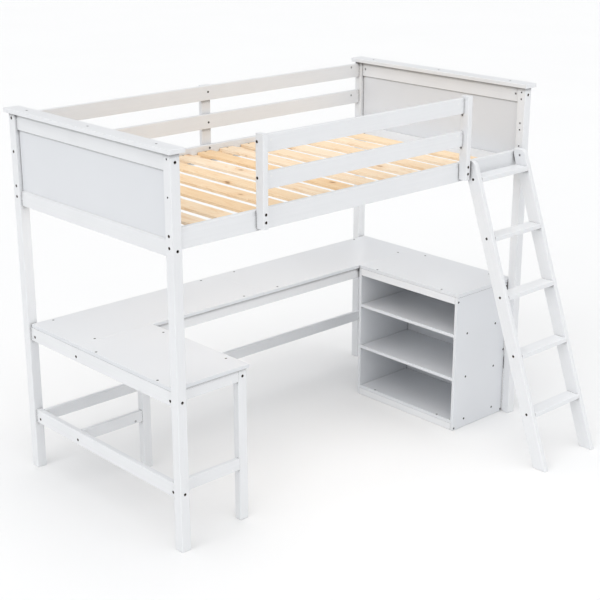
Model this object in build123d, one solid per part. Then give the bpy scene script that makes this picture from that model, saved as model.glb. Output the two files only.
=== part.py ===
from build123d import *
import os

# A loft bed for one mattress with a desk, a back shelf and an open cabinet beneath it.
# All lengths are in millimetres.
#
# The sizes below are measured from the front left corner post: x runs along the bed from the
# post's left face, y runs back from its front face and z runs up from the floor. The finished
# pieces are then moved so that the origin is the middle of the whole object on the floor.

# Overall frame
LENGTH = 1990.0                 # left face of the left posts to right face of the right posts
WIDTH = 1050.0                  # front face of the front posts to back face of the back posts
POST = 42.0                     # side of the square corner posts
POST_TOP = 1542.0
CAP_THICK = 18.0
CAP_OVERHANG = 15.0
CAP_TOP = POST_TOP + CAP_THICK

# Thick members lie this far behind the posts' outer faces
RECESS = 10.0
THICK = 22.0                    # side rails, end rails, cross rails and ladder rails
THIN = 18.0                     # guard rails, shelf rails and stretchers
BOARD = 15.0                    # desk tops, shelves and cabinet walls

# End frames above the bed
TOP_RAIL_Z = (1475.0, POST_TOP)
LOWER_RAIL_Z = (1163.0, 1228.0)
PANEL_THICK = 8.0
PANEL_TONGUE = 8.0              # how far the infill panel goes into each grooved rail
PANEL_PLAY = 0.2                # room round the panel in its groove
PANEL_SIDE_GAP = 1.5
PANEL_EASE = 0.5

# Bed sides and slats
SIDE_RAIL_Z = (1190.0, 1270.0)
SLAT_COUNT = 13
SLAT_WIDTH = 78.0
SLAT_THICK = 12.0
SLAT_TOP = 1246.0
SLAT_FIRST_X = 157.0
SLAT_PITCH = 127.5
SLAT_END_GAP = 2.0
CLEAT_HEIGHT = 25.0
CLEAT_DEPTH = 22.0
CLEAT_END_GAP = 18.0

# Guard rails
GUARD_POST_X = (395.0, 1531.5)  # left faces of the two guard posts
GUARD_POST_WIDTH = 25.0
GUARD_POST_DEPTH = 43.0
GUARD_POST_FOOT = 1202.0
FRONT_GUARD_UPPER_Z = (1485.0, 1551.0)
FRONT_GUARD_LOWER_Z = (1346.0, 1412.0)
BACK_GUARD_UPPER_Z = (1471.0, 1536.0)
BACK_GUARD_LOWER_Z = (1343.0, 1408.0)
SUPPORT_WIDTH = 52.0
SUPPORT_Z = (SIDE_RAIL_Z[0], 1536.0)

# Ladder: two raked rails whose backs bear on the front side rail
LADDER_RAIL_X = (1566.0, 1898.0)
LADDER_FOOT_FRONT = -510.0
LADDER_FOOT_BACK = -444.0
LADDER_RAKE = 0.36              # how far back the rails lean for each unit of height
LADDER_TOP = 1283.0
LADDER_NOSE = 34.0              # radius of the rounded front top corner
LADDER_HEEL = 6.0               # radius of the back top corner
STEP_COUNT = 5
STEP_FIRST_Z = 232.0
STEP_RISE = 243.0
STEP_THICK = 20.0

# Desk level
DESK_UNDERSIDE = 643.0
CROSS_RAIL_HEIGHT = 60.0
LOW_CROSS_RAIL_Z = (210.0, 270.0)
SMALL_RAIL_HEIGHT = 50.0
STRETCHER_Z = (221.0, 271.0)
DESK_FRONT_RAIL_Y = 50.0
DESK_WIDTH_X = (10.0, 380.0)
DESK_FRONT_Y = 42.0
SHELF_Y = (658.0, 1000.0)
SHELF_FRONT_RAIL_Y = 668.0
SHELF_REAR_RAIL_Y = 972.0
MIDDLE_STRETCHER_Y = 690.0
LEG_X = (331.0, 373.0)
LEG_DEPTH = 32.0
INNER_RAIL_X = (341.0, 363.0)

# Cabinet, open towards the middle of the desk
CABINET_X = (1600.0, 1950.0)
CABINET_Y = (44.0, 658.0)
CABINET_TOP_X = 1602.0
CABINET_FLOOR_Z = (32.5, 47.5)
CABINET_LOWER_SHELF_Z = (241.0, 256.0)
CABINET_UPPER_SHELF_Z = (451.0, 466.0)
CABINET_RAIL_THICK = 18.0
CABINET_SHELF_SETBACK = 1.0
CABINET_TOP_RAIL_Z = (610.0, DESK_UNDERSIDE)

# Eased edges
POST_EASE = 3.0
RAIL_EASE = 2.5
BOARD_EASE = 1.5
SLAT_EASE = 1.2
RAIL_BEVEL = 6.0

# Every drilled hole's cutter starts this far outside its mouth
HOLE_MOUTH = 1.0

# Bolts with recessed flat heads, and their cross nuts
BOLT_RADIUS = 3.0
BOLT_HOLE_RADIUS = 3.3
HEAD_RADIUS = 5.0
HEAD_THICK = 3.5
HEAD_SINK = 3.0                 # depth of the head's top below the face
HEAD_HOLE_RADIUS = 5.7
SOCKET_RADIUS = 2.6
SOCKET_DEPTH = 2.4
NUT_RADIUS = 5.0
NUT_HOLE_RADIUS = 5.15
NUT_LENGTH = 14.0
NUT_THREAD_RADIUS = 3.1
NUT_SLOT = 1.4
NUT_CUT = 3 * NUT_RADIUS          # length of the cuts across a nut
BOLT_PAST_NUT = 6.0
HOLE_PAST_NUT = 9.0
NUT_HOLE_PLAY = 0.5
INSERT_NUT_LENGTH = 17.0
INSERT_BOLT_SHORT = 2.0         # how far an insert's bolt stops short of its far face

# Distance from a rail's end to its cross nut
NUT_NEAR = 18.0
NUT_SIDE = 24.0
NUT_MIDDLE = 36.0
NUT_FAR = 55.0

# Dowels
DOWEL_RADIUS = 4.0
DOWEL_HOLE_RADIUS = 4.05
DOWEL_SHORT_END = 12.0
DOWEL_LONG_END = 18.0
DOWEL_PLAY = 1.0

# Countersunk screws
SCREW_RADIUS = 2.5
SCREW_HOLE_RADIUS = 2.6
SCREW_HEAD_RADIUS = 5.0
SCREW_HEAD_HEIGHT = 3.0
SCREW_SINK = 0.4
SCREW_TIP = 4.0
SCREW_POINT_RADIUS = 0.2
SCREW_HEAD_PLAY = 0.2
SCREW_HOLE_PAST = 1.5
CROSS_WIDTH = 1.1
CROSS_LENGTH = 5.4
CROSS_DEPTH = 1.2
SCREW_SHORT = 28.0
SCREW_MEDIUM = 34.0
SCREW_LONG = 42.0

# Spare holes left by the reversible pattern
SPARE_DOWEL_DEPTH = 13.0
SPARE_BOLT_RADIUS = 4.0
SPARE_GUARD_DROP = 7.0          # spare dowel hole below each front guard rail
SPARE_RAIL_RISE = 12.0          # spare dowel hole above the front side rail

# Heights of the bolt and the dowel in each kind of rail end
TOP_RAIL_FIX_Z = (1510.0, 1491.0)
LOWER_RAIL_FIX_Z = (1190.0, 1208.0)
HIGH_CROSS_FIX_Z = (612.0, 594.0)
LOW_CROSS_FIX_Z = (239.5, 221.0)
HIGH_SMALL_FIX_Z = (604.0, 630.0)
LOW_SMALL_FIX_Z = (231.5, 258.0)
INNER_RAIL_FIX_Z = (613.0, 631.0)

# Heights of the other bolts
SIDE_RAIL_BOLT_Z = (1201.0, 1245.0)
GUARD_POST_BOLT_Z = (1229.0, 1259.0)
FRONT_GUARD_BOLT_Z = {"upper": 1529.0, "lower": 1394.0}
BACK_GUARD_BOLT_Z = {"upper": 1521.0, "lower": 1385.0}
GUARD_DOWEL_DROP = 30.0         # dowel below the bolt at a guard rail's end
LADDER_TOP_BOLT_Z = 1256.0
LADDER_TOP_REACH = 36.0         # from the ladder rail's back to its cross nut
STEP_DOWEL_BACK = 20.0          # dowel behind the bolt at a step's end

# Places of the screws
CAP_SCREW_INSET = 104.0
SUPPORT_UPPER_SCREW_Z = 1508.0
SUPPORT_LOWER_SCREW_Z = 1371.0
SUPPORT_RAIL_SCREW_Z = 1256.0
TOP_SCREW_Y = (148.0, 548.0)
SHELF_LEFT_SCREW_X = (103.0, 896.0)
SHELF_RIGHT_SCREW_X = (1094.0, 1887.0)
CABINET_BASE_SCREW_Y = (150.0, 548.0)
CABINET_SHELF_SCREW_X = (1677.0, 1875.0)
CABINET_TOP_RAIL_SCREW_Z = 621.0
CABINET_BASE_RAIL_SCREW_Z = 10.0
CABINET_BACK_SCREW_Z = (10.0, 313.0, 624.0)

# Worked out from the sizes above
INNER_X = (POST, LENGTH - POST)
INNER_Y = (POST, WIDTH - POST)
FRONT_RAIL_Y = (RECESS, RECESS + THICK)
BACK_RAIL_Y = (WIDTH - RECESS - THICK, WIDTH - RECESS)
LEFT_RAIL_X = (RECESS, RECESS + THICK)
RIGHT_RAIL_X = (LENGTH - RECESS - THICK, LENGTH - RECESS)
BACK_GUARD_Y = (WIDTH - RECESS - THIN, WIDTH - RECESS)
FRONT_GUARD_Y = (RECESS - THIN, RECESS)
HIGH_CROSS_RAIL_Z = (DESK_UNDERSIDE - CROSS_RAIL_HEIGHT, DESK_UNDERSIDE)
HIGH_SMALL_RAIL_Z = (DESK_UNDERSIDE - SMALL_RAIL_HEIGHT, DESK_UNDERSIDE)
DESK_Z = (DESK_UNDERSIDE, DESK_UNDERSIDE + BOARD)
SPAN_X = (LEFT_RAIL_X[1], RIGHT_RAIL_X[0])
LEG_FRONT_Y = (DESK_FRONT_RAIL_Y, DESK_FRONT_RAIL_Y + LEG_DEPTH)
LEG_MIDDLE_Y = (SHELF_FRONT_RAIL_Y + THIN, SHELF_FRONT_RAIL_Y + THIN + LEG_DEPTH)
ORIGIN_X = LENGTH / 2
ORIGIN_Y = (LADDER_FOOT_FRONT + WIDTH + CAP_OVERHANG) / 2

LEFT, RIGHT = Vector(-1, 0, 0), Vector(1, 0, 0)
FRONT, BACK = Vector(0, -1, 0), Vector(0, 1, 0)
DOWN = Vector(0, 0, -1)

pieces = {}                     # node name to its wooden solid
cuts = {}                       # node name to the holes still to be cut in it
hardware = {"bolts": [], "nuts": [], "screws": [], "dowels": []}


def middle(limits):
    return (limits[0] + limits[1]) / 2


def thick(start, size):
    return (start, start + size)


def board(name, x, y, z, ease=RAIL_EASE, along=None):
    """A piece of sawn timber between two limits on each axis.

    Its edges along one axis are eased, or all of them where no axis is given.
    """
    size = (x[1] - x[0], y[1] - y[0], z[1] - z[0])
    solid = Pos(middle(x), middle(y), middle(z)) * Box(*size)
    edges = solid.edges().filter_by(along) if along else solid.edges()
    pieces[name] = fillet(edges, ease)
    cuts[name] = []


def rod(start, direction, radius, length):
    """A cylinder from a point along a direction."""
    place = Plane(origin=start, z_dir=direction).location
    return place * Cylinder(radius, length, align=(Align.CENTER, Align.CENTER, Align.MIN))


def hole(names, start, direction, radius, length):
    """The same round hole in each named piece, opened a little past its mouth."""
    cutter = rod(start - direction * HOLE_MOUTH, direction, radius, length + HOLE_MOUTH)
    for name in names:
        cuts[name].append(cutter)


def bolt_solid(length):
    """A bolt with a flat socket head, head's top at z = 0 and shank towards +Z."""
    up_from_zero = (Align.CENTER, Align.CENTER, Align.MIN)
    head = Cylinder(HEAD_RADIUS, HEAD_THICK, align=up_from_zero)
    shank = Cylinder(BOLT_RADIUS, length, align=up_from_zero)
    socket = extrude(RegularPolygon(SOCKET_RADIUS, 6), SOCKET_DEPTH)
    return head + shank - socket


def bolt(through, into, seat, direction, grip, nut_offset, nut_side, nut_depth):
    """A bolt through one or more pieces into a cross nut near the end of another.

    The seat is the point on the first piece's face, the grip is the thickness passed before
    the last piece, and the nut lies nut_depth inside the face that nut_side looks out of.
    """
    nut_at = seat + direction * (grip + nut_offset)
    reach = grip + nut_offset
    hole(through + [into], seat, direction, BOLT_HOLE_RADIUS, reach + HOLE_PAST_NUT)
    hole([through[0]], seat, direction, HEAD_HOLE_RADIUS, HEAD_SINK + HEAD_THICK)
    place = Plane(origin=seat + direction * HEAD_SINK, z_dir=direction).location
    hardware["bolts"].append(place * bolt_solid(reach + BOLT_PAST_NUT - HEAD_SINK))
    mouth = nut_at + nut_side * nut_depth
    hole([into], mouth, -nut_side, NUT_HOLE_RADIUS, nut_depth + NUT_LENGTH / 2 + NUT_HOLE_PLAY)
    outer_end = nut_at + nut_side * (NUT_LENGTH / 2)
    nut = rod(outer_end, -nut_side, NUT_RADIUS, NUT_LENGTH)
    nut -= rod(nut_at - direction * NUT_CUT / 2, direction, NUT_THREAD_RADIUS, NUT_CUT)
    slot_plane = Plane(origin=outer_end, z_dir=nut_side, x_dir=direction)
    nut -= slot_plane.location * Box(NUT_CUT, NUT_SLOT, NUT_SLOT * 2)
    hardware["nuts"].append(nut)


def insert_bolt(through, into, seat, direction, grip, depth):
    """A bolt through one piece into a threaded insert let into the far face of another."""
    length = grip + depth
    hole([through, into], seat, direction, BOLT_HOLE_RADIUS, length)
    hole([through], seat, direction, HEAD_HOLE_RADIUS, HEAD_SINK + HEAD_THICK)
    place = Plane(origin=seat + direction * HEAD_SINK, z_dir=direction).location
    hardware["bolts"].append(place * bolt_solid(length - HEAD_SINK - INSERT_BOLT_SHORT))
    far_face = seat + direction * length
    hole([into], far_face, -direction, NUT_HOLE_RADIUS, INSERT_NUT_LENGTH)
    insert = rod(far_face, -direction, NUT_RADIUS, INSERT_NUT_LENGTH - NUT_HOLE_PLAY)
    hardware["nuts"].append(insert - rod(far_face, -direction, NUT_THREAD_RADIUS, INSERT_NUT_LENGTH))


def dowel(first, second, face, direction):
    """A dowel across the face where two pieces meet, short end in the first piece."""
    length = DOWEL_SHORT_END + DOWEL_LONG_END
    start = face - direction * DOWEL_SHORT_END
    hardware["dowels"].append(rod(start, direction, DOWEL_RADIUS, length))
    cutter = rod(start - direction * DOWEL_PLAY, direction, DOWEL_HOLE_RADIUS, length + 2 * DOWEL_PLAY)
    cuts[first].append(cutter)
    cuts[second].append(cutter)


def screw_solid(length):
    """A countersunk cross-head screw, head's top at z = 0 and point towards +Z."""
    up_from_zero = (Align.CENTER, Align.CENTER, Align.MIN)
    head = Cone(SCREW_HEAD_RADIUS, SCREW_RADIUS, SCREW_HEAD_HEIGHT, align=up_from_zero)
    shank = Cylinder(SCREW_RADIUS, length - SCREW_TIP, align=up_from_zero)
    tip = Cone(SCREW_RADIUS, SCREW_POINT_RADIUS, SCREW_TIP, align=up_from_zero)
    solid = head + shank + Pos(0, 0, length - SCREW_TIP) * tip
    solid -= Box(CROSS_LENGTH, CROSS_WIDTH, CROSS_DEPTH * 2)
    solid -= Box(CROSS_WIDTH, CROSS_LENGTH, CROSS_DEPTH * 2)
    return solid


SCREWS = {length: screw_solid(length) for length in (SCREW_SHORT, SCREW_MEDIUM, SCREW_LONG)}


def screw(through, into, seat, direction, length):
    """A screw through one piece into another, its head just below the first one's face."""
    place = Plane(origin=seat + direction * SCREW_SINK, z_dir=direction).location
    hardware["screws"].append(place * SCREWS[length])
    hole([through, into], seat, direction, SCREW_HOLE_RADIUS, length + SCREW_HOLE_PAST)
    hole([through], seat, direction, SCREW_HEAD_RADIUS + SCREW_HEAD_PLAY, SCREW_SINK)
    sink = Cone(SCREW_HEAD_RADIUS + SCREW_HEAD_PLAY, SCREW_RADIUS + SCREW_HEAD_PLAY,
                SCREW_HEAD_HEIGHT + SCREW_HEAD_PLAY, align=(Align.CENTER, Align.CENTER, Align.MIN))
    cuts[through].append(place * sink)


def corner_posts():
    ease = POST_EASE
    for side, x in (("left", (0, POST)), ("right", (INNER_X[1], LENGTH))):
        board(f"post_front_{side}", x, (0, POST), (0, POST_TOP), ease, Axis.Z)
        board(f"post_back_{side}", x, (INNER_Y[1], WIDTH), (0, POST_TOP), ease, Axis.Z)


def end_caps():
    y = (-CAP_OVERHANG, WIDTH + CAP_OVERHANG)
    z = (POST_TOP, CAP_TOP)
    width = POST + 2 * CAP_OVERHANG
    board("cap_left", thick(-CAP_OVERHANG, width), y, z, POST_EASE)
    board("cap_right", thick(INNER_X[1] - CAP_OVERHANG, width), y, z, POST_EASE)
    screw_y = (CAP_SCREW_INSET, WIDTH / 2, WIDTH - CAP_SCREW_INSET)
    for side, x in (("left", middle(LEFT_RAIL_X)), ("right", middle(RIGHT_RAIL_X))):
        for y_at in screw_y:
            seat = Vector(x, y_at, CAP_TOP)
            screw(f"cap_{side}", f"top_rail_{side}", seat, DOWN, SCREW_LONG)


def end_frames():
    """The top rail, infill panel and lower rail between each pair of posts."""
    groove = PANEL_THICK + 2 * PANEL_PLAY
    groove_depth = PANEL_TONGUE + PANEL_PLAY
    for side, x, outward in (("left", LEFT_RAIL_X, LEFT), ("right", RIGHT_RAIL_X, RIGHT)):
        centre = middle(x)
        board(f"top_rail_{side}", x, INNER_Y, TOP_RAIL_Z, RAIL_EASE, Axis.Y)
        board(f"lower_rail_{side}", x, INNER_Y, LOWER_RAIL_Z, RAIL_EASE, Axis.Y)
        bevel_lower_rail(f"lower_rail_{side}", x, outward)
        panel_x = (centre - PANEL_THICK / 2, centre + PANEL_THICK / 2)
        panel_y = (INNER_Y[0] + PANEL_SIDE_GAP, INNER_Y[1] - PANEL_SIDE_GAP)
        panel_z = (LOWER_RAIL_Z[1] - PANEL_TONGUE, TOP_RAIL_Z[0] + PANEL_TONGUE)
        board(f"end_panel_{side}", panel_x, panel_y, panel_z, PANEL_EASE, Axis.Z)
        slot = Box(groove, WIDTH, 2 * groove_depth)
        cuts[f"top_rail_{side}"].append(Pos(centre, WIDTH / 2, TOP_RAIL_Z[0]) * slot)
        cuts[f"lower_rail_{side}"].append(Pos(centre, WIDTH / 2, LOWER_RAIL_Z[1]) * slot)


def bevel_lower_rail(name, x, outward):
    """The bevel along the outer top edge of an end's lower rail."""
    outer = x[0] if outward.X < 0 else x[1]
    top = LOWER_RAIL_Z[1]
    wedge = Plane.XZ * Polygon((outer, top), (outer, top - RAIL_BEVEL),
                               (outer - outward.X * RAIL_BEVEL, top), align=None)
    cuts[name].append(Pos(0, WIDTH, 0) * extrude(wedge, WIDTH))


def bed_sides():
    """The side rails, the cleats screwed inside them and the slats across the cleats."""
    cleat_z = (SLAT_TOP - SLAT_THICK - CLEAT_HEIGHT, SLAT_TOP - SLAT_THICK)
    cleat_x = (INNER_X[0] + CLEAT_END_GAP, INNER_X[1] - CLEAT_END_GAP)
    front_cleat_y = thick(FRONT_RAIL_Y[1], CLEAT_DEPTH)
    back_cleat_y = thick(BACK_RAIL_Y[0] - CLEAT_DEPTH, CLEAT_DEPTH)
    board("side_rail_front", INNER_X, FRONT_RAIL_Y, SIDE_RAIL_Z, RAIL_EASE, Axis.X)
    board("side_rail_back", INNER_X, BACK_RAIL_Y, SIDE_RAIL_Z, RAIL_EASE, Axis.X)
    board("cleat_front", cleat_x, front_cleat_y, cleat_z, BOARD_EASE, Axis.X)
    board("cleat_back", cleat_x, back_cleat_y, cleat_z, BOARD_EASE, Axis.X)
    slat_y = (FRONT_RAIL_Y[1] + SLAT_END_GAP, BACK_RAIL_Y[0] - SLAT_END_GAP)
    slat_z = (SLAT_TOP - SLAT_THICK, SLAT_TOP)
    for number in range(SLAT_COUNT):
        left = SLAT_FIRST_X + number * SLAT_PITCH
        name = f"slat_{number}"
        board(name, thick(left, SLAT_WIDTH), slat_y, slat_z, SLAT_EASE, Axis.Y)
        centre = left + SLAT_WIDTH / 2
        screw(name, "cleat_front", Vector(centre, middle(front_cleat_y), SLAT_TOP), DOWN, SCREW_SHORT)
        screw(name, "cleat_back", Vector(centre, middle(back_cleat_y), SLAT_TOP), DOWN, SCREW_SHORT)
    for number in range(0, SLAT_COUNT - 1, 2):
        x = SLAT_FIRST_X + SLAT_WIDTH / 2 + (number + 0.5) * SLAT_PITCH
        front_seat = Vector(x, front_cleat_y[1], middle(cleat_z))
        back_seat = Vector(x, back_cleat_y[0], middle(cleat_z))
        screw("cleat_front", "side_rail_front", front_seat, FRONT, SCREW_MEDIUM)
        screw("cleat_back", "side_rail_back", back_seat, BACK, SCREW_MEDIUM)


def guard_posts():
    post_y = (RECESS - GUARD_POST_DEPTH, RECESS)
    post_z = (GUARD_POST_FOOT, CAP_TOP)
    for side, left in zip(("left", "right"), GUARD_POST_X):
        x = thick(left, GUARD_POST_WIDTH)
        name = f"guard_post_{side}"
        board(name, x, post_y, post_z, POST_EASE, Axis.Z)
        for z in GUARD_POST_BOLT_Z:
            seat = Vector(middle(x), post_y[0], z)
            insert_bolt(name, "side_rail_front", seat, BACK, GUARD_POST_DEPTH, THICK)


def front_guard_rails():
    span = (GUARD_POST_X[0] + GUARD_POST_WIDTH, GUARD_POST_X[1])
    y = middle(FRONT_GUARD_Y)
    ends = (("left", GUARD_POST_X[0], RIGHT, span[0]),
            ("right", span[1] + GUARD_POST_WIDTH, LEFT, span[1]))
    for level, z in (("upper", FRONT_GUARD_UPPER_Z), ("lower", FRONT_GUARD_LOWER_Z)):
        name = f"guard_rail_front_{level}"
        board(name, span, FRONT_GUARD_Y, z, RAIL_EASE, Axis.X)
        bolt_z = FRONT_GUARD_BOLT_Z[level]
        for side, outer, direction, end in ends:
            post = f"guard_post_{side}"
            seat = Vector(outer, y, bolt_z)
            bolt([post], name, seat, direction, GUARD_POST_WIDTH, NUT_MIDDLE, BACK, THIN / 2)
            dowel(post, name, Vector(end, y, bolt_z - GUARD_DOWEL_DROP), direction)
            spare = Vector(end, y, z[0] - SPARE_GUARD_DROP)
            hole([post], spare, -direction, DOWEL_RADIUS, SPARE_DOWEL_DEPTH)


def back_guard_rails():
    """The long back guard rails, and the holes for them that the front posts also carry."""
    y = middle(BACK_GUARD_Y)
    for level, z in (("upper", BACK_GUARD_UPPER_Z), ("lower", BACK_GUARD_LOWER_Z)):
        name = f"guard_rail_back_{level}"
        board(name, INNER_X, BACK_GUARD_Y, z, RAIL_EASE, Axis.X)
        bolt_z = BACK_GUARD_BOLT_Z[level]
        dowel_z = bolt_z - GUARD_DOWEL_DROP
        long_rail_bolts(name, "post_back", y, (bolt_z,), dowel_z, NUT_FAR, FRONT, THIN)
        for side, outer, direction, end in post_sides():
            post = f"post_front_{side}"
            hole([post], Vector(outer, POST / 2, bolt_z), direction, SPARE_BOLT_RADIUS, POST + 1)
            spare = Vector(end, POST / 2, dowel_z)
            hole([post], spare, -direction, DOWEL_RADIUS, SPARE_DOWEL_DEPTH)
    spare = Vector(INNER_X[1], POST / 2, SIDE_RAIL_Z[1] + SPARE_RAIL_RISE)
    hole(["post_front_right"], spare, RIGHT, DOWEL_RADIUS, SPARE_DOWEL_DEPTH)


def post_sides():
    """Each end's outer face, the direction into the bed and the posts' inner face."""
    return (("left", 0.0, RIGHT, INNER_X[0]), ("right", LENGTH, LEFT, INNER_X[1]))


def long_rail_bolts(name, post, y, bolt_zs, dowel_z, nut_offset, nut_side, thickness):
    """The bolts and dowel at both ends of a rail between a left and a right post."""
    for side, outer, direction, end in post_sides():
        holder = f"{post}_{side}"
        for z in bolt_zs:
            seat = Vector(outer, y, z)
            bolt([holder], name, seat, direction, POST, nut_offset, nut_side, thickness / 2)
        dowel(holder, name, Vector(end, y, dowel_z), direction)


def guard_support():
    """The board that ties the back guard rails to the back side rail at mid length."""
    x = (ORIGIN_X - SUPPORT_WIDTH / 2, ORIGIN_X + SUPPORT_WIDTH / 2)
    board("guard_support", x, thick(BACK_RAIL_Y[1], THIN), SUPPORT_Z, RAIL_EASE, Axis.Z)
    held = (("guard_rail_back_upper", BACK_GUARD_Y[0], SUPPORT_UPPER_SCREW_Z),
            ("guard_rail_back_lower", BACK_GUARD_Y[0], SUPPORT_LOWER_SCREW_Z),
            ("side_rail_back", BACK_RAIL_Y[0], SUPPORT_RAIL_SCREW_Z))
    for name, face, z in held:
        screw(name, "guard_support", Vector(ORIGIN_X, face, z), BACK, SCREW_SHORT)


def side_rail_bolts():
    dowel_z = middle(SIDE_RAIL_BOLT_Z)
    sides = (("front", middle(FRONT_RAIL_Y), BACK), ("back", middle(BACK_RAIL_Y), FRONT))
    for place, y, nut_side in sides:
        rail = f"side_rail_{place}"
        post = f"post_{place}"
        long_rail_bolts(rail, post, y, SIDE_RAIL_BOLT_Z, dowel_z, NUT_SIDE, nut_side, THICK)


def end_rail_bolts():
    """Bolts through the posts' front and back faces into every rail of the end frames."""
    levels = (("top_rail", TOP_RAIL_FIX_Z, NUT_NEAR),
              ("lower_rail", LOWER_RAIL_FIX_Z, NUT_NEAR),
              ("cross_rail_upper", HIGH_CROSS_FIX_Z, NUT_MIDDLE),
              ("cross_rail_lower", LOW_CROSS_FIX_Z, NUT_MIDDLE))
    ends = (("left", middle(LEFT_RAIL_X), RIGHT), ("right", middle(RIGHT_RAIL_X), LEFT))
    faces = (("front", 0.0, BACK, INNER_Y[0]), ("back", WIDTH, FRONT, INNER_Y[1]))
    for side, x, inward in ends:
        for place, outer, direction, end in faces:
            post = f"post_{place}_{side}"
            for level, (bolt_z, dowel_z), nut_offset in levels:
                name = f"{level}_{side}"
                seat = Vector(x, outer, bolt_z)
                bolt([post], name, seat, direction, POST, nut_offset, inward, THICK / 2)
                dowel(post, name, Vector(x, end, dowel_z), direction)


def ladder():
    rail_names = ("ladder_rail_left", "ladder_rail_right")
    rail_depth = LADDER_FOOT_BACK - LADDER_FOOT_FRONT
    for name, left in zip(rail_names, LADDER_RAIL_X):
        pieces[name] = ladder_rail(left)
        cuts[name] = []
    inner = (LADDER_RAIL_X[0] + THICK, LADDER_RAIL_X[1])
    for number in range(STEP_COUNT):
        name = f"ladder_step_{number + 1}"
        z = STEP_FIRST_Z + number * STEP_RISE
        y = LADDER_FOOT_FRONT + rail_depth / 2 + LADDER_RAKE * z
        step_y = (y - rail_depth / 2, y + rail_depth / 2)
        board(name, inner, step_y, thick(z - STEP_THICK / 2, STEP_THICK), POST_EASE, Axis.X)
        ends = ((rail_names[0], LADDER_RAIL_X[0], RIGHT, inner[0]),
                (rail_names[1], LADDER_RAIL_X[1] + THICK, LEFT, inner[1]))
        for rail, outer, direction, end in ends:
            bolt([rail], name, Vector(outer, y, z), direction, THICK, NUT_MIDDLE, DOWN, STEP_THICK / 2)
            dowel(rail, name, Vector(end, y + STEP_DOWEL_BACK, z), direction)
    fix_ladder_top(rail_names)


def ladder_rail(left):
    """A raked rail, level at its foot, upright where it bears on the side rail."""
    bearing = FRONT_RAIL_Y[0]
    bearing_z = (bearing - LADDER_FOOT_BACK) / LADDER_RAKE
    top_front = LADDER_FOOT_FRONT + LADDER_RAKE * LADDER_TOP
    outline = Polyline(
        (LADDER_FOOT_FRONT, 0),
        (LADDER_FOOT_BACK, 0),
        (bearing, bearing_z),
        (bearing, LADDER_TOP),
        (top_front, LADDER_TOP),
        close=True,
    )
    face = make_face(outline)
    nose, heel = face.vertices().sort_by(Axis.Y)[-2:].sort_by(Axis.X)
    face = fillet(nose, LADDER_NOSE)
    face = fillet(closest_vertex(face, heel), LADDER_HEEL)
    solid = extrude(Plane.YZ.offset(left) * face, THICK)
    sides = solid.faces().sort_by(Axis.X)
    rims = sides[0].edges() + sides[-1].edges()
    return fillet([edge for edge in rims if edge.center().Z > 1], POST_EASE)


def closest_vertex(face, vertex):
    return face.vertices().sort_by_distance(vertex)[0]


def fix_ladder_top(rail_names):
    """The bolts from inside the side rail that hold the ladder's top."""
    for name, left, nut_side in zip(rail_names, LADDER_RAIL_X, (RIGHT, LEFT)):
        seat = Vector(left + THICK / 2, FRONT_RAIL_Y[1], LADDER_TOP_BOLT_Z)
        bolt(["side_rail_front"], name, seat, FRONT, THICK, LADDER_TOP_REACH, nut_side, THICK / 2)


def desk_frame():
    for side, x in (("left", LEFT_RAIL_X), ("right", RIGHT_RAIL_X)):
        board(f"cross_rail_upper_{side}", x, INNER_Y, HIGH_CROSS_RAIL_Z, RAIL_EASE, Axis.Y)
        board(f"cross_rail_lower_{side}", x, INNER_Y, LOW_CROSS_RAIL_Z, RAIL_EASE, Axis.Y)
    board("desk_leg_front", LEG_X, LEG_FRONT_Y, (0, DESK_UNDERSIDE), POST_EASE, Axis.Z)
    board("desk_leg_middle", LEG_X, LEG_MIDDLE_Y, (0, DESK_UNDERSIDE), POST_EASE, Axis.Z)
    inner_rail_y = (LEG_FRONT_Y[1], SHELF_FRONT_RAIL_Y)
    board("desk_rail_inner", INNER_RAIL_X, inner_rail_y, HIGH_CROSS_RAIL_Z, RAIL_EASE, Axis.Y)
    short = (SPAN_X[0], LEG_X[0])
    small_rails = (("desk_rail_front", short, DESK_FRONT_RAIL_Y, HIGH_SMALL_RAIL_Z),
                   ("stretcher_front", short, DESK_FRONT_RAIL_Y, STRETCHER_Z),
                   ("stretcher_middle", short, MIDDLE_STRETCHER_Y, STRETCHER_Z),
                   ("shelf_rail_front", SPAN_X, SHELF_FRONT_RAIL_Y, HIGH_SMALL_RAIL_Z),
                   ("shelf_rail_rear", SPAN_X, SHELF_REAR_RAIL_Y, HIGH_SMALL_RAIL_Z),
                   ("stretcher_back", SPAN_X, SHELF_REAR_RAIL_Y, STRETCHER_Z))
    for name, x, front, z in small_rails:
        board(name, x, thick(front, THIN), z, RAIL_EASE, Axis.X)


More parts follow.
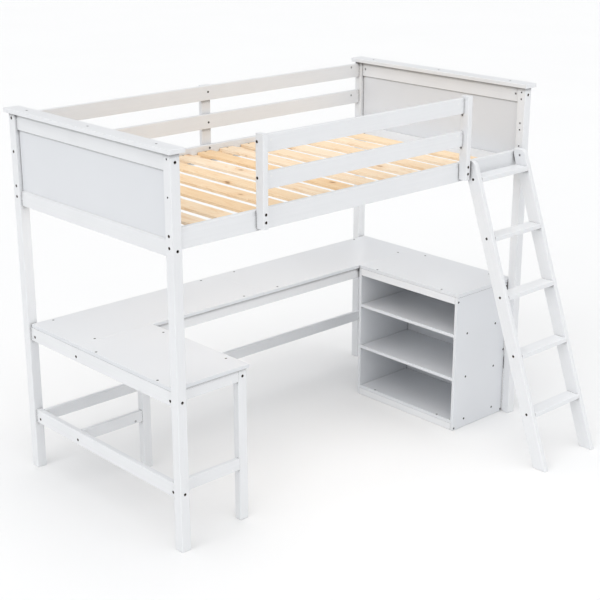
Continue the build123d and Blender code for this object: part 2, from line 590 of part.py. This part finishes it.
def desk_frame_bolts():
    left_face, right_face = LEFT_RAIL_X[0], RIGHT_RAIL_X[1]
    cross = (("cross_rail_upper", HIGH_SMALL_FIX_Z), ("cross_rail_lower", LOW_SMALL_FIX_Z))
    rails = (("desk_rail_front", 0, DESK_FRONT_RAIL_Y, BACK),
             ("shelf_rail_front", 0, SHELF_FRONT_RAIL_Y, FRONT),
             ("shelf_rail_rear", 0, SHELF_REAR_RAIL_Y, FRONT),
             ("stretcher_front", 1, DESK_FRONT_RAIL_Y, BACK),
             ("stretcher_middle", 1, MIDDLE_STRETCHER_Y, FRONT),
             ("stretcher_back", 1, SHELF_REAR_RAIL_Y, FRONT))
    for name, level, front, nut_side in rails:
        holder, (bolt_z, dowel_z) = cross[level]
        y = front + THIN / 2
        joints = [(f"{holder}_left", left_face, RIGHT, THICK)]
        if name.startswith("shelf") or name.endswith("back"):
            joints.append((f"{holder}_right", right_face, LEFT, THICK))
        else:
            leg = "desk_leg_middle" if name.endswith("middle") else "desk_leg_front"
            joints.append((leg, LEG_X[1], LEFT, LEG_X[1] - LEG_X[0]))
        for outer_piece, outer, direction, grip in joints:
            seat = Vector(outer, y, bolt_z)
            bolt([outer_piece], name, seat, direction, grip, NUT_MIDDLE, nut_side, THIN / 2)
            face = Vector(outer, y, dowel_z) + direction * grip
            dowel(outer_piece, name, face, direction)
    inner_rail_bolts()


def inner_rail_bolts():
    """The bolts at both ends of the rail under the desk's inner edge."""
    x = middle(INNER_RAIL_X)
    z, dowel_z = INNER_RAIL_FIX_Z
    front_seat = Vector(x, LEG_FRONT_Y[0], z)
    bolt(["desk_leg_front"], "desk_rail_inner", front_seat, BACK, LEG_DEPTH, NUT_MIDDLE, LEFT, THICK / 2)
    back_seat = Vector(x, LEG_MIDDLE_Y[1], z)
    passed = ["desk_leg_middle", "shelf_rail_front"]
    bolt(passed, "desk_rail_inner", back_seat, FRONT, LEG_DEPTH + THIN, NUT_MIDDLE, LEFT, THICK / 2)
    dowel("desk_leg_front", "desk_rail_inner", Vector(x, LEG_FRONT_Y[1], dowel_z), BACK)


def desk_tops():
    board("desk_top", DESK_WIDTH_X, (DESK_FRONT_Y, SHELF_Y[0]), DESK_Z, BOARD_EASE)
    board("shelf_board_left", (RECESS, ORIGIN_X), SHELF_Y, DESK_Z, BOARD_EASE)
    board("shelf_board_right", (ORIGIN_X, LENGTH - RECESS), SHELF_Y, DESK_Z, BOARD_EASE)
    cabinet_x = (CABINET_TOP_X, LENGTH - RECESS)
    board("cabinet_top", cabinet_x, (DESK_FRONT_Y, SHELF_Y[0]), DESK_Z, BOARD_EASE)
    top = DESK_Z[1]
    for y in TOP_SCREW_Y:
        screw("desk_top", "cross_rail_upper_left", Vector(middle(LEFT_RAIL_X), y, top), DOWN, SCREW_LONG)
        screw("desk_top", "desk_rail_inner", Vector(middle(INNER_RAIL_X), y, top), DOWN, SCREW_LONG)
        rail_x = CABINET_X[0] + CABINET_RAIL_THICK / 2
        screw("cabinet_top", "cabinet_rail_top", Vector(rail_x, y, top), DOWN, SCREW_MEDIUM)
        back_x = CABINET_X[1] - BOARD / 2
        screw("cabinet_top", "cabinet_back", Vector(back_x, y, top), DOWN, SCREW_LONG)
    rails = (("shelf_rail_front", SHELF_FRONT_RAIL_Y), ("shelf_rail_rear", SHELF_REAR_RAIL_Y))
    boards = (("shelf_board_left", SHELF_LEFT_SCREW_X), ("shelf_board_right", SHELF_RIGHT_SCREW_X))
    for name, screw_xs in boards:
        for x in screw_xs:
            for rail, front in rails:
                screw(name, rail, Vector(x, front + THIN / 2, top), DOWN, SCREW_LONG)


def cabinet():
    inner_y = (CABINET_Y[0] + BOARD, CABINET_Y[1] - BOARD)
    back_x = (CABINET_X[1] - BOARD, CABINET_X[1])
    side_z = (0, DESK_UNDERSIDE)
    board("cabinet_side_near", CABINET_X, thick(CABINET_Y[0], BOARD), side_z, BOARD_EASE)
    board("cabinet_side_far", CABINET_X, thick(inner_y[1], BOARD), side_z, BOARD_EASE)
    board("cabinet_back", back_x, inner_y, side_z, BOARD_EASE, Axis.Y)
    shelf_x = (CABINET_X[0] + CABINET_SHELF_SETBACK, back_x[0])
    levels = (("cabinet_floor", CABINET_FLOOR_Z), ("cabinet_shelf_lower", CABINET_LOWER_SHELF_Z),
              ("cabinet_shelf_upper", CABINET_UPPER_SHELF_Z))
    for name, z in levels:
        board(name, shelf_x, inner_y, z, BOARD_EASE, Axis.Y)
    rail_x = thick(CABINET_X[0], CABINET_RAIL_THICK)
    board("cabinet_rail_top", rail_x, inner_y, CABINET_TOP_RAIL_Z, BOARD_EASE, Axis.Y)
    board("cabinet_rail_base", rail_x, inner_y, (0, CABINET_FLOOR_Z[0]), BOARD_EASE, Axis.Y)
    cabinet_screws(middle(rail_x), middle(back_x))
    for y in CABINET_BASE_SCREW_Y:
        seat = Vector(middle(rail_x), y, CABINET_FLOOR_Z[1])
        screw("cabinet_floor", "cabinet_rail_base", seat, DOWN, SCREW_SHORT)


def cabinet_screws(rail_x, back_x):
    """The screws through the cabinet's two side panels into everything between them."""
    spots = [("cabinet_rail_top", rail_x, CABINET_TOP_RAIL_SCREW_Z)]
    spots += [("cabinet_rail_base", rail_x, CABINET_BASE_RAIL_SCREW_Z)]
    spots += [("cabinet_back", back_x, z) for z in CABINET_BACK_SCREW_Z]
    levels = (("cabinet_floor", CABINET_FLOOR_Z), ("cabinet_shelf_lower", CABINET_LOWER_SHELF_Z),
              ("cabinet_shelf_upper", CABINET_UPPER_SHELF_Z))
    for name, z in levels:
        spots += [(name, x, middle(z)) for x in CABINET_SHELF_SCREW_X]
    for name, x, z in spots:
        screw("cabinet_side_near", name, Vector(x, CABINET_Y[0], z), BACK, SCREW_LONG)
        screw("cabinet_side_far", name, Vector(x, CABINET_Y[1], z), FRONT, SCREW_LONG)


def write_parts():
    """Cut the holes, gather the slats into one node and write every node's file."""
    os.makedirs("parts", exist_ok=True)
    finished = {name: solid - cuts[name] if cuts[name] else solid for name, solid in pieces.items()}
    slats = [finished.pop(f"slat_{number}") for number in range(SLAT_COUNT)]
    groups = dict(hardware, slats=slats)
    for name, members in groups.items():
        finished[name] = Compound([solid for member in members for solid in member.solids()])
    to_origin = Pos(-ORIGIN_X, -ORIGIN_Y, 0)
    for name, shape in finished.items():
        export_step(to_origin * shape, f"parts/{name}.step")
    print(len(finished), "nodes written")


corner_posts()
end_frames()
end_caps()
bed_sides()
guard_posts()
front_guard_rails()
back_guard_rails()
guard_support()
side_rail_bolts()
desk_frame()
end_rail_bolts()
desk_frame_bolts()
ladder()
cabinet()
desk_tops()
write_parts()
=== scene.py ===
import math

import bmesh
import bpy
from mathutils import Matrix, Vector


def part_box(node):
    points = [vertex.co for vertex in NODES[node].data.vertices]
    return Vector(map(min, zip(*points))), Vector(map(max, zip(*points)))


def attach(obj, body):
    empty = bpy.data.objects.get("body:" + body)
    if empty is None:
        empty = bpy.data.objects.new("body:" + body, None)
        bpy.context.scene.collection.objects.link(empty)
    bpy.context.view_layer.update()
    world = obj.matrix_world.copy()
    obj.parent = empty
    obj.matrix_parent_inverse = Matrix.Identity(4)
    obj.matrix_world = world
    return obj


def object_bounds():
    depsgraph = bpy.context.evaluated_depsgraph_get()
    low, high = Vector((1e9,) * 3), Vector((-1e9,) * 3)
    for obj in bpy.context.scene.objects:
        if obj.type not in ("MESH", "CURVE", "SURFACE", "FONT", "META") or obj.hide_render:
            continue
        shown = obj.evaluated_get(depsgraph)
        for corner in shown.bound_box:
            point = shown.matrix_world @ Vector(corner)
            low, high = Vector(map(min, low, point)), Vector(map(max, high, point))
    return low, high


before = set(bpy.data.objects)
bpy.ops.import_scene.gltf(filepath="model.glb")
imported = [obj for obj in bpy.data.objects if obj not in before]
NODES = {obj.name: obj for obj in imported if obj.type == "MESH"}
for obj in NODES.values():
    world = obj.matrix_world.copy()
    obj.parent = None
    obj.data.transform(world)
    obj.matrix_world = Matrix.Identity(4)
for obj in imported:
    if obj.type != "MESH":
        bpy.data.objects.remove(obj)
CAD_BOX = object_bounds()

# ---------------------------------------------------------------- driving values, lengths in metres

# Painted surfaces
WHITE = (0.785, 0.795, 0.81, 1.0)
WHITE_SHADE = (0.755, 0.765, 0.78, 1.0)
BOARD_WHITE = (0.715, 0.73, 0.755, 1.0)
BOARD_SHADE = (0.69, 0.705, 0.73, 1.0)
# painted highlight: a lighter colour laid on the convex eased edges
PAINTED_EDGE_HIGHLIGHT = (0.86, 0.85, 0.83, 1.0)
# painted shade: a dark colour laid under whatever overhangs a surface
PAINTED_OVERHANG_SHADE = (0.16, 0.155, 0.16, 1.0)
EDGE_HIGHLIGHT_REACH = 0.004
# how far the painted shade under an overhang reaches, on timber and on board
TIMBER_PAINTED_SHADE_REACH = 0.022
BOARD_PAINTED_SHADE_REACH = 0.013
SKY_TILT = 0.8                  # how much of straight up is added to the normal
OCCLUSION_SAMPLES = 4

# The grain is stretched along a piece and tight across it
GRAIN_ALONG = 0.6
GRAIN_ACROSS = 34.0
GRAIN_SCALES = {
    "x": (GRAIN_ALONG, GRAIN_ACROSS, GRAIN_ACROSS),
    "y": (GRAIN_ACROSS, GRAIN_ALONG, GRAIN_ACROSS),
    "z": (GRAIN_ACROSS, GRAIN_ACROSS, GRAIN_ALONG),
    "rake": (GRAIN_ACROSS, GRAIN_ACROSS, GRAIN_ALONG),
}
RAKE = math.atan(0.36)          # the ladder leans 0.36 m for each metre that it rises

# Bare pine
SLAT_PITCH = 0.1275
PINE_MIDDLE = (0.93, 0.78, 0.60)
PINE_YELLOW = (0.90, 0.70, 0.47)
PINE_ORANGE = (0.87, 0.62, 0.36)
LATE_WOOD = (0.74, 0.42, 0.17, 1.0)
FIBRE_SHADE = (0.80, 0.52, 0.25, 1.0)
KNOT_HALO = (0.76, 0.44, 0.18, 1.0)
KNOT_CORE = (0.36, 0.17, 0.07, 1.0)
RING_SCALE = (9.0, 0.7, 9.0)
RING_COUNT = 9.0
FIBRE_SCALE = (220, 6, 220)
KNOT_SCALE = (9.0, 5.5, 9.0)
PLANK_SHIFT = (7.0, 9.0, 5.0)   # how far apart in the wood two slats may be cut

# Drilled wood: bare wood, darkened to near black as painted shade down the counterbores
SHADED_DRILLED_DARK = (0.035, 0.025, 0.018)
SHADED_DRILLED_LIGHT = (0.13, 0.085, 0.05)

# Steel: name, light and dark colour, lowest and highest roughness
STEELS = {
    "bolts": ("black_steel", (0.035, 0.034, 0.033, 1), (0.012, 0.012, 0.012, 1), 0.34, 0.5),
    "nuts": ("zinc_steel", (0.55, 0.55, 0.56, 1), (0.36, 0.36, 0.37, 1), 0.3, 0.45),
    "screws": ("screw_steel", (0.06, 0.058, 0.055, 1), (0.02, 0.02, 0.02, 1), 0.36, 0.5),
}

# Linings of the bolts' counterbores
HEAD_HOLE_RADIUS = 0.0057
HEAD_SINK = 0.003               # depth of a bolt head's top below the face
LINING_THICK = 0.00025
LINING_CLEAR = 0.00005          # between a lining and the wall of its hole
LINING_BELOW = 0.0005           # how far it goes on past the head's top
RIM_WIDTH = 0.0003
RIM_PROUD = 0.00006
RIM_ROUND = 0.8                 # share of the rim's width that is at full height
RIM_SEGMENTS = 40
WELD = 0.000005                 # corners this near each other are one point
END_FACE = 0.0002               # points this near a bolt's end belong to its end face

# Floor, light and camera
FLOOR_HALF = 120.0
FLOOR_DROP = 0.0005
FLOOR_TONES = ((0.85, 0.85, 0.85, 1), (0.87, 0.87, 0.87, 1))
WORLD_COLOUR = (0.975, 0.985, 1.0, 1.0)
WORLD_STRENGTH = 0.45
SUNS = {                        # strength, azimuth, elevation and angular size in degrees
    "key": (0.85, -80, 33, 50),
    "top": (1.45, 0, 89, 90),
    "front": (0.7, -10, 30, 70),
}
UNDER_BED_ENERGY = 4.2
UNDER_BED_COLOUR = (0.86, 0.93, 1.0)
UNDER_BED_SHARE = (0.9, 0.6)    # of the object's length and depth
UNDER_BED_INSET = 0.06
UNDER_BED_GAP = 0.02
SENSOR = 36.0                   # sensor and lens in millimetres
LENS = 79.9
CAMERA_REACH = 200.0
CAMERA_AZIMUTH = -42.75
CAMERA_ELEVATION = 18.77
CAMERA_PLACE = (-3.707, -3.868, 2.537)

BOARDS = (
    "desk_top",
    "shelf_board_left",
    "shelf_board_right",
    "cabinet_top",
    "cabinet_side_near",
    "cabinet_side_far",
    "cabinet_back",
    "cabinet_floor",
    "cabinet_shelf_lower",
    "cabinet_shelf_upper",
    "end_panel_left",
    "end_panel_right",
)

# ---------------------------------------------------------------- node-tree helpers


def new_material(name):
    """An empty node material with its Principled shader and object coordinates."""
    material = bpy.data.materials.new(name)
    material.use_nodes = True
    tree = material.node_tree
    tree.nodes.clear()
    output = tree.nodes.new("ShaderNodeOutputMaterial")
    shader = tree.nodes.new("ShaderNodeBsdfPrincipled")
    tree.links.new(shader.outputs["BSDF"], output.inputs["Surface"])
    coordinates = tree.nodes.new("ShaderNodeTexCoord").outputs["Object"]
    return material, tree, shader, coordinates


def feed(tree, socket, value):
    """Link a socket to another, or give it a plain value."""
    if isinstance(value, bpy.types.NodeSocket):
        tree.links.new(value, socket)
    else:
        socket.default_value = value


def mapping(tree, vector, scale=(1, 1, 1), rotation=(0, 0, 0)):
    node = tree.nodes.new("ShaderNodeMapping")
    feed(tree, node.inputs["Vector"], vector)
    node.inputs["Scale"].default_value = scale
    node.inputs["Rotation"].default_value = rotation
    return node.outputs["Vector"]


def noise(tree, vector, scale, detail=3.0, roughness=0.55, distortion=0.0):
    node = tree.nodes.new("ShaderNodeTexNoise")
    feed(tree, node.inputs["Vector"], vector)
    node.inputs["Scale"].default_value = scale
    node.inputs["Detail"].default_value = detail
    node.inputs["Roughness"].default_value = roughness
    node.inputs["Distortion"].default_value = distortion
    return node.outputs["Fac"]


def math_node(tree, operation, first, second=0.0):
    node = tree.nodes.new("ShaderNodeMath")
    node.operation = operation
    for socket, value in zip(node.inputs, (first, second)):
        feed(tree, socket, value)
    return node.outputs[0]


def remap(tree, value, low, high, to_low, to_high):
    node = tree.nodes.new("ShaderNodeMapRange")
    feed(tree, node.inputs["Value"], value)
    node.inputs["From Min"].default_value = low
    node.inputs["From Max"].default_value = high
    node.inputs["To Min"].default_value = to_low
    node.inputs["To Max"].default_value = to_high
    return node.outputs["Result"]


def ramp(tree, factor, stops):
    node = tree.nodes.new("ShaderNodeValToRGB")
    feed(tree, node.inputs["Fac"], factor)
    elements = node.color_ramp.elements
    while len(elements) < len(stops):
        elements.new(0.5)
    for element, (position, colour) in zip(elements, stops):
        element.position = position
        element.color = (*colour, 1.0)
    return node.outputs["Color"]


def mix(tree, factor, first, second):
    node = tree.nodes.new("ShaderNodeMix")
    node.data_type = "RGBA"
    feed(tree, node.inputs["Factor"], factor)
    feed(tree, node.inputs["A"], first)
    feed(tree, node.inputs["B"], second)
    return node.outputs["Result"]


def tilted_up(tree):
    """The surface's normal, tilted towards the sky."""
    surface = tree.nodes.new("ShaderNodeNewGeometry").outputs["Normal"]
    total = tree.nodes.new("ShaderNodeVectorMath")
    total.operation = "ADD"
    tree.links.new(surface, total.inputs[0])
    total.inputs[1].default_value = (0.0, 0.0, SKY_TILT)
    unit = tree.nodes.new("ShaderNodeVectorMath")
    unit.operation = "NORMALIZE"
    tree.links.new(total.outputs["Vector"], unit.inputs[0])
    return unit.outputs["Vector"]


def occlusion(tree, distance, normal=None, inside=False):
    """How hemmed in a point is, 0 to 1: round the normal, or at its outer edges if inside."""
    node = tree.nodes.new("ShaderNodeAmbientOcclusion")
    node.samples = OCCLUSION_SAMPLES
    node.inside = inside
    node.only_local = inside
    node.inputs["Distance"].default_value = distance
    if normal is not None:
        tree.links.new(normal, node.inputs["Normal"])
    return math_node(tree, "SUBTRACT", 1.0, node.outputs["AO"])


def bump(tree, height, strength, distance, normal=None):
    node = tree.nodes.new("ShaderNodeBump")
    feed(tree, node.inputs["Height"], height)
    node.inputs["Strength"].default_value = strength
    node.inputs["Distance"].default_value = distance
    if normal is not None:
        tree.links.new(normal, node.inputs["Normal"])
    return node.outputs["Normal"]


# ---------------------------------------------------------------- materials


def painted_edge_highlight_and_shade(tree, colour, pattern, reach):
    """Painted highlight on the eased edges, broken up by the pattern, and painted shade within reach of
    what overhangs the surface.
    """
    # painted highlight: lighter colour along the convex edges, broken up by the pattern
    edge_highlight = math_node(tree, "MULTIPLY", occlusion(tree, EDGE_HIGHLIGHT_REACH, inside=True), pattern)
    colour = mix(tree, remap(tree, edge_highlight, 0.15, 0.5, 0.0, 0.6), colour, PAINTED_EDGE_HIGHLIGHT)
    # painted shade: darker where something overhangs the surface within reach
    overhang_shade_mask = occlusion(tree, reach, normal=tilted_up(tree))
    return mix(tree, remap(tree, overhang_shade_mask, 0.3, 0.75, 0.0, 0.95), colour, PAINTED_OVERHANG_SHADE)


def painted_timber(direction):
    """White semi-gloss paint over solid pine, whose grain just shows as relief."""
    material, tree, shader, place = new_material(f"painted_timber_{direction}")
    if direction == "rake":
        place = mapping(tree, place, rotation=(RAKE, 0, 0))
    grain_place = mapping(tree, place, scale=GRAIN_SCALES[direction])
    grain = noise(tree, grain_place, 4.0, detail=5.0, roughness=0.6, distortion=0.4)
    cloud = noise(tree, place, 5.0, detail=2.0)
    peel = noise(tree, place, 420.0, detail=2.0)
    grain_share = math_node(tree, "MULTIPLY", grain, 0.55)
    cloud_share = math_node(tree, "MULTIPLY", cloud, 0.45)
    shade = math_node(tree, "ADD", grain_share, cloud_share)
    colour = mix(tree, remap(tree, shade, 0.36, 0.66, 0.0, 1.0), WHITE_SHADE, WHITE)
    colour = painted_edge_highlight_and_shade(tree, colour, grain, TIMBER_PAINTED_SHADE_REACH)
    feed(tree, shader.inputs["Base Color"], colour)
    feed(tree, shader.inputs["Roughness"], remap(tree, grain, 0.3, 0.7, 0.36, 0.46))
    relief = bump(tree, grain, 0.35, 0.0006)
    feed(tree, shader.inputs["Normal"], bump(tree, peel, 0.12, 0.0003, relief))
    shader.inputs["Coat Weight"].default_value = 0.12
    shader.inputs["Coat Roughness"].default_value = 0.22
    return material


def painted_board():
    """White lacquer on smooth board, with the fine peel of a sprayed finish."""
    material, tree, shader, place = new_material("painted_board")
    peel = noise(tree, place, 300.0, detail=2.0)
    cloud = noise(tree, place, 3.0, detail=3.0)
    colour = mix(tree, cloud, BOARD_SHADE, BOARD_WHITE)
    colour = painted_edge_highlight_and_shade(tree, colour, peel, BOARD_PAINTED_SHADE_REACH)
    feed(tree, shader.inputs["Base Color"], colour)
    feed(tree, shader.inputs["Roughness"], remap(tree, cloud, 0.3, 0.7, 0.30, 0.38))
    feed(tree, shader.inputs["Normal"], bump(tree, peel, 0.15, 0.0003))
    shader.inputs["Coat Weight"].default_value = 0.15
    shader.inputs["Coat Roughness"].default_value = 0.18
    return material


def plank_of_each_slat(tree, place):
    """A tone for each slat, and coordinates that cut each slat from wood of its own."""
    split = tree.nodes.new("ShaderNodeSeparateXYZ")
    feed(tree, split.inputs[0], place)
    first_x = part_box("slats")[0].x
    along_bed = math_node(tree, "SUBTRACT", split.outputs[0], first_x)
    plank = math_node(tree, "FLOOR", math_node(tree, "DIVIDE", along_bed, SLAT_PITCH))
    seed = tree.nodes.new("ShaderNodeTexWhiteNoise")
    seed.noise_dimensions = "1D"
    feed(tree, seed.inputs["W"], plank)
    moved = tree.nodes.new("ShaderNodeVectorMath")
    moved.operation = "MULTIPLY_ADD"
    feed(tree, moved.inputs[0], seed.outputs["Color"])
    moved.inputs[1].default_value = PLANK_SHIFT
    feed(tree, moved.inputs[2], place)
    return seed.outputs["Value"], moved.outputs[0]


def pine_slats():
    """Bare planed pine along Y: early and late wood in bands, fine fibres, scattered knots."""
    material, tree, shader, place = new_material("pine_slats")
    tone, base = plank_of_each_slat(tree, place)
    waver = noise(tree, mapping(tree, base, scale=RING_SCALE), 2.2, detail=2.0, distortion=0.3)
    rings = math_node(tree, "FRACT", math_node(tree, "MULTIPLY", waver, RING_COUNT))
    late = remap(tree, rings, 0.55, 1.0, 0.0, 1.0)
    fibres = noise(tree, mapping(tree, base, scale=FIBRE_SCALE), 3.0, detail=3.0)
    knots = tree.nodes.new("ShaderNodeTexVoronoi")
    knots.feature = "F1"
    feed(tree, knots.inputs["Vector"], mapping(tree, base, scale=KNOT_SCALE))
    knots.inputs["Scale"].default_value = 1.0
    knot = remap(tree, knots.outputs["Distance"], 0.05, 0.12, 1.0, 0.0)
    halo = remap(tree, knots.outputs["Distance"], 0.08, 0.34, 1.0, 0.0)
    colour = ramp(tree, tone, [(0.0, PINE_YELLOW), (0.5, PINE_MIDDLE), (1.0, PINE_ORANGE)])
    colour = mix(tree, math_node(tree, "MULTIPLY", late, 0.40), colour, LATE_WOOD)
    colour = mix(tree, remap(tree, fibres, 0.35, 0.75, 0.0, 0.20), colour, FIBRE_SHADE)
    colour = mix(tree, math_node(tree, "MULTIPLY", halo, 0.30), colour, KNOT_HALO)
    colour = mix(tree, math_node(tree, "MULTIPLY", knot, 0.75), colour, KNOT_CORE)
    feed(tree, shader.inputs["Base Color"], colour)
    feed(tree, shader.inputs["Roughness"], remap(tree, fibres, 0.3, 0.7, 0.52, 0.68))
    relief = bump(tree, rings, 0.12, 0.0004)
    feed(tree, shader.inputs["Normal"], bump(tree, fibres, 0.3, 0.0004, relief))
    return material


def shaded_raw_wood():
    """The bare drilled wood inside and round the bolt holes, and the dowels, darkened to near black as
    painted shade for the inside of the counterbores.
    """
    material, tree, shader, place = new_material("shaded_raw_wood")
    fibres = noise(tree, place, 900.0, detail=3.0)
    feed(tree, shader.inputs["Base Color"], ramp(tree, fibres, [(0.3, SHADED_DRILLED_DARK), (0.7, SHADED_DRILLED_LIGHT)]))
    shader.inputs["Roughness"].default_value = 0.75
    feed(tree, shader.inputs["Normal"], bump(tree, fibres, 0.5, 0.0003))
    return material


def steel(name, light, dark, low_rough, high_rough):
    """Plated steel with faint tooling marks."""
    material, tree, shader, place = new_material(name)
    marks = noise(tree, place, 1400.0, detail=2.0)
    blotch = noise(tree, place, 160.0, detail=3.0)
    feed(tree, shader.inputs["Base Color"], mix(tree, blotch, dark, light))
    feed(tree, shader.inputs["Roughness"], remap(tree, marks, 0.3, 0.7, low_rough, high_rough))
    feed(tree, shader.inputs["Normal"], bump(tree, marks, 0.2, 0.0001))
    shader.inputs["Metallic"].default_value = 1.0
    return material


# ---------------------------------------------------------------- CAD nodes and their materials


def grain_direction(name):
    """The grain of a sawn piece runs along its longest side."""
    if name.startswith("ladder_rail"):
        return "rake"
    low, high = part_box(name)
    size = high - low
    return "xyz"[max(range(3), key=lambda axis: size[axis])]


def assign(node, material):
    node.data.materials.clear()
    node.data.materials.append(material)


def dress_frame():
    """Give every CAD node its material."""
    timber = {direction: painted_timber(direction) for direction in GRAIN_SCALES}
    board = painted_board()
    pine = pine_slats()
    special = {"slats": pine, "cleat_front": pine, "cleat_back": pine}
    for name, recipe in STEELS.items():
        special[name] = steel(*recipe)
    special["dowels"] = shaded_raw_wood()
    for name, node in NODES.items():
        if name in special:
            assign(node, special[name])
        elif name in BOARDS:
            assign(node, board)
        else:
            assign(node, timber[grain_direction(name)])


# ---------------------------------------------------------------- linings of the bolts' counterbores


def loose_parts(mesh):
    """The points of each separate piece of a mesh, whose faces are joined first."""
    built = bmesh.new()
    built.from_mesh(mesh)
    bmesh.ops.remove_doubles(built, verts=built.verts, dist=WELD)
    seen = set()
    parts = []
    for start in built.verts:
        if start in seen:
            continue
        seen.add(start)
        stack = [start]
        part = []
        while stack:
            vertex = stack.pop()
            part.append(vertex.co.copy())
            for edge in vertex.link_edges:
                other = edge.other_vert(vertex)
                if other not in seen:
                    seen.add(other)
                    stack.append(other)
        parts.append(part)
    built.free()
    return parts


def bolt_head(points):
    """The centre of a bolt's head top and the direction that it looks out.

    A bolt is longest along its own axis, and its head is the wider of its two ends.
    """
    low = Vector([min(point[axis] for point in points) for axis in range(3)])
    high = Vector([max(point[axis] for point in points) for axis in range(3)])
    size = high - low
    axis = max(range(3), key=lambda number: size[number])
    centre = (low + high) / 2

    def end_radius(end):
        offsets = [point - centre for point in points if abs(point[axis] - end) < END_FACE]
        for offset in offsets:
            offset[axis] = 0.0
        return max(offset.length for offset in offsets)

    head_is_high = end_radius(high[axis]) > end_radius(low[axis])
    centre[axis] = high[axis] if head_is_high else low[axis]
    outward = Vector((0, 0, 0))
    outward[axis] = 1.0 if head_is_high else -1.0
    return centre, outward


def lathe(built, profile, centre, outward):
    """A ring turned about a direction from a closed profile of (radius, height) pairs."""
    turn = Vector((0, 0, 1)).rotation_difference(outward).to_matrix().to_4x4()
    place = Matrix.Translation(centre) @ turn
    rings = []
    for step in range(RIM_SEGMENTS):
        angle = 2 * math.pi * step / RIM_SEGMENTS
        ring = []
        for radius, height in profile:
            point = Vector((radius * math.cos(angle), radius * math.sin(angle), height))
            ring.append(built.verts.new(place @ point))
        rings.append(ring)
    for step in range(RIM_SEGMENTS):
        this = rings[step]
        following = rings[(step + 1) % RIM_SEGMENTS]
        for corner in range(len(profile)):
            after = (corner + 1) % len(profile)
            built.faces.new((this[corner], following[corner], following[after], this[after]))


def hole_rims():
    """Bare wood round the mouth and down the wall of every bolt's counterbore, darkened as painted shade of
    the hole.
    """
    outer = HEAD_HOLE_RADIUS - LINING_CLEAR
    inner = outer - LINING_THICK
    profile = (
        (inner, -LINING_BELOW),
        (outer, -LINING_BELOW),
        (outer, HEAD_SINK),
        (outer + RIM_WIDTH, HEAD_SINK),
        (outer + RIM_WIDTH * RIM_ROUND, HEAD_SINK + RIM_PROUD),
        (inner, HEAD_SINK + RIM_PROUD),
    )
    built = bmesh.new()
    for points in loose_parts(NODES["bolts"].data):
        centre, outward = bolt_head(points)
        lathe(built, profile, centre, outward)
    bmesh.ops.recalc_face_normals(built, faces=built.faces)
    mesh = bpy.data.meshes.new("hole_rims")
    built.to_mesh(mesh)
    built.free()
    piece = bpy.data.objects.new("hole_rims", mesh)
    bpy.context.scene.collection.objects.link(piece)
    mesh.materials.append(shaded_raw_wood())
    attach(piece, "root")


# ---------------------------------------------------------------- floor, light and camera


def floor():
    corners = [(x * FLOOR_HALF, y * FLOOR_HALF, 0) for x, y in ((-1, -1), (1, -1), (1, 1), (-1, 1))]
    mesh = bpy.data.meshes.new("floor")
    mesh.from_pydata(corners, [], [(0, 1, 2, 3)])
    piece = bpy.data.objects.new("floor", mesh)
    piece.location.z = CAD_BOX[0].z - FLOOR_DROP
    bpy.context.scene.collection.objects.link(piece)
    material, tree, shader, place = new_material("floor_paper")
    cloud = noise(tree, place, 0.6, detail=2.0)
    feed(tree, shader.inputs["Base Color"], mix(tree, cloud, *FLOOR_TONES))
    shader.inputs["Roughness"].default_value = 0.9
    mesh.materials.append(material)


def direction_to(azimuth, elevation):
    """The unit vector to a place at this azimuth and elevation, in degrees; azimuth 0 is -Y."""
    turn = math.radians(azimuth)
    rise = math.radians(elevation)
    level = math.cos(rise)
    return Vector((math.sin(turn) * level, -math.cos(turn) * level, math.sin(rise)))


def sun(name, strength, azimuth, elevation, angular_size):
    light = bpy.data.lights.new(name, "SUN")
    light.energy = strength
    light.angle = math.radians(angular_size)
    lamp = bpy.data.objects.new(name, light)
    lamp.rotation_euler = direction_to(azimuth, elevation).to_track_quat("Z", "Y").to_euler()
    bpy.context.scene.collection.objects.link(lamp)


def under_bed_light():
    """A soft panel below the bed base, over the back of the desk level, that points down."""
    low, high = CAD_BOX
    light = bpy.data.lights.new("under_bed", "AREA")
    light.shape = "RECTANGLE"
    light.size = (high.x - low.x) * UNDER_BED_SHARE[0]
    light.size_y = (high.y - low.y) * UNDER_BED_SHARE[1]
    light.energy = UNDER_BED_ENERGY
    light.color = UNDER_BED_COLOUR
    lamp = bpy.data.objects.new("under_bed", light)
    across = high.y - light.size_y / 2 - UNDER_BED_INSET
    lamp.location = (0.0, across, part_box("lower_rail_left")[0].z - UNDER_BED_GAP)
    lamp.visible_camera = False
    lamp.visible_glossy = False
    bpy.context.scene.collection.objects.link(lamp)


def lighting():
    world = bpy.data.worlds.new("studio")
    world.use_nodes = True
    background = world.node_tree.nodes["Background"]
    background.inputs["Color"].default_value = WORLD_COLOUR
    background.inputs["Strength"].default_value = WORLD_STRENGTH
    bpy.context.scene.world = world
    for name, settings in SUNS.items():
        sun(name, *settings)
    under_bed_light()


def camera():
    data = bpy.data.cameras.new("camera")
    data.sensor_width = SENSOR
    data.lens = LENS
    data.clip_end = CAMERA_REACH
    piece = bpy.data.objects.new("camera", data)
    view = -direction_to(CAMERA_AZIMUTH, CAMERA_ELEVATION)
    piece.location = CAMERA_PLACE
    piece.rotation_euler = view.to_track_quat("-Z", "Y").to_euler()
    bpy.context.scene.collection.objects.link(piece)
    bpy.context.scene.camera = piece


dress_frame()
hole_rims()
floor()
lighting()
camera()
bpy.context.scene.view_settings.view_transform = "Standard"
